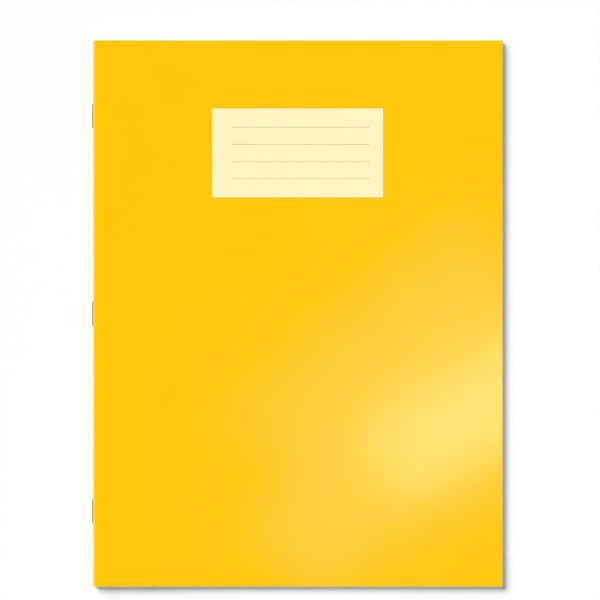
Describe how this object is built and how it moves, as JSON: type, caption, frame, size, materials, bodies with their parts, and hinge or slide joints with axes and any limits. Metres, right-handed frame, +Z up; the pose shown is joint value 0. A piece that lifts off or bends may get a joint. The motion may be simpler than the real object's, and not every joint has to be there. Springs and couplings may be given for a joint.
{
  "type": "stapled exercise book",
  "caption": "Large exercise book: folded ruled sheets wire-stapled through the spine of a glossy yellow card cover with a pasted name label; cover and leaves swing open.",
  "frame": {"origin": "middle of the underside of the closed book, lying on its back cover", "axes": "+X from the spine to the fore-edge, +Y from tail to head, +Z up through the front cover"},
  "size_m": [0.2406, 0.32, 0.0042],
  "materials": {
    "cover_card": "gloss",
    "label_paper": "matte",
    "sheet_paper": "matte",
    "staple_wire": "satin"
  },
  "bodies": {
    "back": {"back_cover": "cover_card", "sheet_01_back_leaf": "sheet_paper"},
    "front_leaf_01": {"sheet_01_front_leaf": "sheet_paper"},
    "front_cover": {"front_cover": "cover_card", "name_label": "label_paper"},
    "spine": {"cover_spine": "cover_card", "sheet_01_fold": "sheet_paper", "sheet_02_fold": "sheet_paper", "sheet_03_fold": "sheet_paper", "sheet_04_fold": "sheet_paper", "sheet_05_fold": "sheet_paper", "sheet_06_fold": "sheet_paper", "sheet_07_fold": "sheet_paper", "sheet_08_fold": "sheet_paper", "sheet_09_fold": "sheet_paper", "sheet_10_fold": "sheet_paper", "sheet_11_fold": "sheet_paper", "sheet_12_fold": "sheet_paper", "staple_head": "staple_wire", "staple_middle": "staple_wire", "staple_tail": "staple_wire"},
    "back_leaf_02": {"sheet_02_back_leaf": "sheet_paper"},
    "front_leaf_02": {"sheet_02_front_leaf": "sheet_paper"},
    "back_leaf_03": {"sheet_03_back_leaf": "sheet_paper"},
    "front_leaf_03": {"sheet_03_front_leaf": "sheet_paper"},
    "back_leaf_04": {"sheet_04_back_leaf": "sheet_paper"},
    "front_leaf_04": {"sheet_04_front_leaf": "sheet_paper"},
    "back_leaf_05": {"sheet_05_back_leaf": "sheet_paper"},
    "front_leaf_05": {"sheet_05_front_leaf": "sheet_paper"},
    "back_leaf_06": {"sheet_06_back_leaf": "sheet_paper"},
    "front_leaf_06": {"sheet_06_front_leaf": "sheet_paper"},
    "back_leaf_07": {"sheet_07_back_leaf": "sheet_paper"},
    "front_leaf_07": {"sheet_07_front_leaf": "sheet_paper"},
    "back_leaf_08": {"sheet_08_back_leaf": "sheet_paper"},
    "front_leaf_08": {"sheet_08_front_leaf": "sheet_paper"},
    "back_leaf_09": {"sheet_09_back_leaf": "sheet_paper"},
    "front_leaf_09": {"sheet_09_front_leaf": "sheet_paper"},
    "back_leaf_10": {"sheet_10_back_leaf": "sheet_paper"},
    "front_leaf_10": {"sheet_10_front_leaf": "sheet_paper"},
    "back_leaf_11": {"sheet_11_back_leaf": "sheet_paper"},
    "front_leaf_11": {"sheet_11_front_leaf": "sheet_paper"},
    "back_leaf_12": {"sheet_12_back_leaf": "sheet_paper"},
    "front_leaf_12": {"sheet_12_front_leaf": "sheet_paper"}
  },
  "joints": [
    {"name": "centre_opening", "type": "hinge", "parent": "back", "child": "front_leaf_01", "pos_m": [-0.11767, 0, 0.00207], "axis": [0, -1, 0], "range_deg": [0, 175], "deforming": ["cover_spine", "sheet_01_fold", "sheet_02_fold", "sheet_03_fold", "sheet_04_fold", "sheet_05_fold", "sheet_06_fold", "sheet_07_fold", "sheet_08_fold", "sheet_09_fold", "sheet_10_fold", "sheet_11_fold", "sheet_12_fold"]},
    {"name": "front_cover_hinge", "type": "hinge", "parent": "front_leaf_01", "child": "front_cover", "pos_m": [-0.11717, 0, 0.00454], "axis": [0, 1, 0], "range_deg": [-175, 0]},
    {"name": "spine_swing", "type": "hinge", "parent": "back", "child": "spine", "pos_m": [-0.11767, 0, 0.00207], "axis": [0, -1, 0], "range_deg": [0, 87.5]},
    {"name": "back_leaf_02_lift", "type": "hinge", "parent": "back", "child": "back_leaf_02", "pos_m": [-0.11767, 0, 0.00207], "axis": [0, -1, 0], "range_deg": [0, 0.6]},
    {"name": "front_leaf_02_turn", "type": "hinge", "parent": "back_leaf_02", "child": "front_leaf_02", "pos_m": [-0.11767, 0, 0.00207], "axis": [0, -1, 0], "range_deg": [0, 173.4]},
    {"name": "back_leaf_03_lift", "type": "hinge", "parent": "back", "child": "back_leaf_03", "pos_m": [-0.11767, 0, 0.00207], "axis": [0, -1, 0], "range_deg": [0, 1.2]},
    {"name": "front_leaf_03_turn", "type": "hinge", "parent": "back_leaf_03", "child": "front_leaf_03", "pos_m": [-0.11767, 0, 0.00207], "axis": [0, -1, 0], "range_deg": [0, 171.8]},
    {"name": "back_leaf_04_lift", "type": "hinge", "parent": "back", "child": "back_leaf_04", "pos_m": [-0.11767, 0, 0.00207], "axis": [0, -1, 0], "range_deg": [0, 1.8]},
    {"name": "front_leaf_04_turn", "type": "hinge", "parent": "back_leaf_04", "child": "front_leaf_04", "pos_m": [-0.11767, 0, 0.00207], "axis": [0, -1, 0], "range_deg": [0, 170.2]},
    {"name": "back_leaf_05_lift", "type": "hinge", "parent": "back", "child": "back_leaf_05", "pos_m": [-0.11767, 0, 0.00207], "axis": [0, -1, 0], "range_deg": [0, 2.4]},
    {"name": "front_leaf_05_turn", "type": "hinge", "parent": "back_leaf_05", "child": "front_leaf_05", "pos_m": [-0.11767, 0, 0.00207], "axis": [0, -1, 0], "range_deg": [0, 168.6]},
    {"name": "back_leaf_06_lift", "type": "hinge", "parent": "back", "child": "back_leaf_06", "pos_m": [-0.11767, 0, 0.00207], "axis": [0, -1, 0], "range_deg": [0, 3]},
    {"name": "front_leaf_06_turn", "type": "hinge", "parent": "back_leaf_06", "child": "front_leaf_06", "pos_m": [-0.11767, 0, 0.00207], "axis": [0, -1, 0], "range_deg": [0, 167]},
    {"name": "back_leaf_07_lift", "type": "hinge", "parent": "back", "child": "back_leaf_07", "pos_m": [-0.11767, 0, 0.00207], "axis": [0, -1, 0], "range_deg": [0, 3.6]},
    {"name": "front_leaf_07_turn", "type": "hinge", "parent": "back_leaf_07", "child": "front_leaf_07", "pos_m": [-0.11767, 0, 0.00207], "axis": [0, -1, 0], "range_deg": [0, 165.4]},
    {"name": "back_leaf_08_lift", "type": "hinge", "parent": "back", "child": "back_leaf_08", "pos_m": [-0.11767, 0, 0.00207], "axis": [0, -1, 0], "range_deg": [0, 4.2]},
    {"name": "front_leaf_08_turn", "type": "hinge", "parent": "back_leaf_08", "child": "front_leaf_08", "pos_m": [-0.11767, 0, 0.00207], "axis": [0, -1, 0], "range_deg": [0, 163.8]},
    {"name": "back_leaf_09_lift", "type": "hinge", "parent": "back", "child": "back_leaf_09", "pos_m": [-0.11767, 0, 0.00207], "axis": [0, -1, 0], "range_deg": [0, 4.8]},
    {"name": "front_leaf_09_turn", "type": "hinge", "parent": "back_leaf_09", "child": "front_leaf_09", "pos_m": [-0.11767, 0, 0.00207], "axis": [0, -1, 0], "range_deg": [0, 162.2]},
    {"name": "back_leaf_10_lift", "type": "hinge", "parent": "back", "child": "back_leaf_10", "pos_m": [-0.11767, 0, 0.00207], "axis": [0, -1, 0], "range_deg": [0, 5.4]},
    {"name": "front_leaf_10_turn", "type": "hinge", "parent": "back_leaf_10", "child": "front_leaf_10", "pos_m": [-0.11767, 0, 0.00207], "axis": [0, -1, 0], "range_deg": [0, 160.6]},
    {"name": "back_leaf_11_lift", "type": "hinge", "parent": "back", "child": "back_leaf_11", "pos_m": [-0.11767, 0, 0.00207], "axis": [0, -1, 0], "range_deg": [0, 6]},
    {"name": "front_leaf_11_turn", "type": "hinge", "parent": "back_leaf_11", "child": "front_leaf_11", "pos_m": [-0.11767, 0, 0.00207], "axis": [0, -1, 0], "range_deg": [0, 159]},
    {"name": "back_leaf_12_lift", "type": "hinge", "parent": "back", "child": "back_leaf_12", "pos_m": [-0.11767, 0, 0.00207], "axis": [0, -1, 0], "range_deg": [0, 6.6]},
    {"name": "front_leaf_12_turn", "type": "hinge", "parent": "back_leaf_12", "child": "front_leaf_12", "pos_m": [-0.11767, 0, 0.00207], "axis": [0, -1, 0], "range_deg": [0, 157.4]}
  ],
  "couplings": [
    {"joint": "spine_swing", "follows": "centre_opening", "ratio": 0.5},
    {"joint": "back_leaf_02_lift", "follows": "centre_opening", "ratio": 0.0034286},
    {"joint": "front_leaf_02_turn", "follows": "centre_opening", "ratio": 0.99086},
    {"joint": "back_leaf_03_lift", "follows": "centre_opening", "ratio": 0.0068571},
    {"joint": "front_leaf_03_turn", "follows": "centre_opening", "ratio": 0.98171},
    {"joint": "back_leaf_04_lift", "follows": "centre_opening", "ratio": 0.010286},
    {"joint": "front_leaf_04_turn", "follows": "centre_opening", "ratio": 0.97257},
    {"joint": "back_leaf_05_lift", "follows": "centre_opening", "ratio": 0.013714},
    {"joint": "front_leaf_05_turn", "follows": "centre_opening", "ratio": 0.96343},
    {"joint": "back_leaf_06_lift", "follows": "centre_opening", "ratio": 0.017143},
    {"joint": "front_leaf_06_turn", "follows": "centre_opening", "ratio": 0.95429},
    {"joint": "back_leaf_07_lift", "follows": "centre_opening", "ratio": 0.020571},
    {"joint": "front_leaf_07_turn", "follows": "centre_opening", "ratio": 0.94514},
    {"joint": "back_leaf_08_lift", "follows": "centre_opening", "ratio": 0.024},
    {"joint": "front_leaf_08_turn", "follows": "centre_opening", "ratio": 0.936},
    {"joint": "back_leaf_09_lift", "follows": "centre_opening", "ratio": 0.027429},
    {"joint": "front_leaf_09_turn", "follows": "centre_opening", "ratio": 0.92686},
    {"joint": "back_leaf_10_lift", "follows": "centre_opening", "ratio": 0.030857},
    {"joint": "front_leaf_10_turn", "follows": "centre_opening", "ratio": 0.91771},
    {"joint": "back_leaf_11_lift", "follows": "centre_opening", "ratio": 0.034286},
    {"joint": "front_leaf_11_turn", "follows": "centre_opening", "ratio": 0.90857},
    {"joint": "back_leaf_12_lift", "follows": "centre_opening", "ratio": 0.037714},
    {"joint": "front_leaf_12_turn", "follows": "centre_opening", "ratio": 0.89943}
  ]
}
